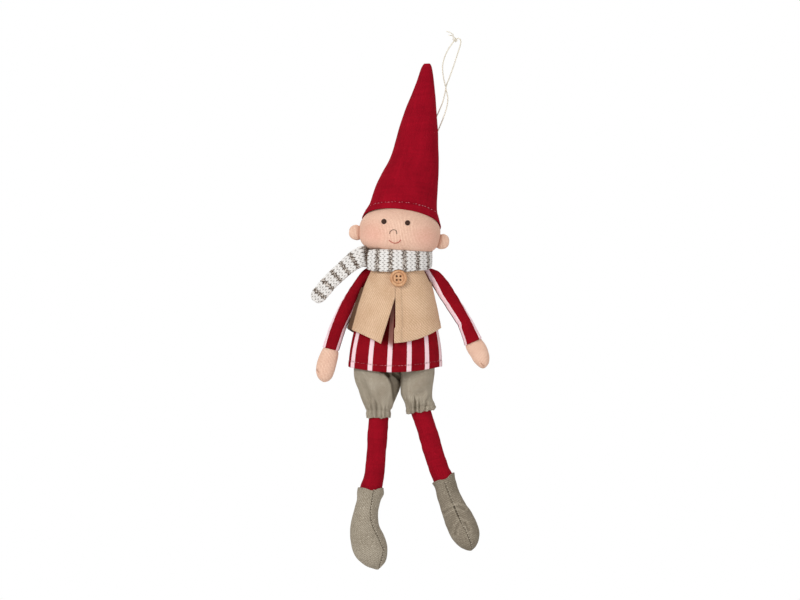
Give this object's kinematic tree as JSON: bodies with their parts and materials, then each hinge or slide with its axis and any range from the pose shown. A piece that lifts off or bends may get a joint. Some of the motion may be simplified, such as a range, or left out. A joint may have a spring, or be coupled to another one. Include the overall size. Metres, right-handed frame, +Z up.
{
  "type": "hanging cloth elf figurine",
  "caption": "Stuffed cloth elf doll with a tall pointed hat, knitted scarf, buttoned vest, striped tunic, gathered trousers and soft boots, hung by a loop of string.",
  "frame": {"origin": "top of the hanging loop, where a hook or branch carries the doll", "axes": "+Z up as the doll hangs, -Y out of its face, +X towards the hand that is on the right of the picture"},
  "size_m": [0.1251, 0.0466, 0.3773],
  "materials": {
    "skin_knit": "peach cotton jersey with fine vertical wales",
    "hat_twill": "matte dark red twill",
    "string_cotton": "off-white twisted cotton string",
    "oat_linen": "warm beige cloth with a diagonal weave",
    "red_cotton": "matte dark red cotton with pale pink stripes",
    "white_wool": "white stocking-stitch knit with grey-brown bands",
    "pale_wood": "satin pale turned wood",
    "grey_linen": "greige flecked linen",
    "dark_thread": "dark brown embroidery thread",
    "red_thread": "coral red embroidery thread"
  },
  "bodies": {
    "root": {"head": "skin_knit", "left_ear": "skin_knit", "right_ear": "skin_knit", "left_hand": "skin_knit", "right_hand": "skin_knit", "hat": "hat_twill", "left_stocking": "hat_twill", "right_stocking": "hat_twill", "hanging_cord": "string_cotton", "loop_knot": "string_cotton", "body": "oat_linen", "vest": "oat_linen", "tunic": "red_cotton", "left_arm": "red_cotton", "right_arm": "red_cotton", "scarf": "white_wool", "button": "pale_wood", "trousers": "grey_linen", "left_boot": "grey_linen", "right_boot": "grey_linen", "left_eye": "dark_thread", "right_eye": "dark_thread", "nose": "dark_thread", "mouth": "red_thread"}
  },
  "joints": []
}
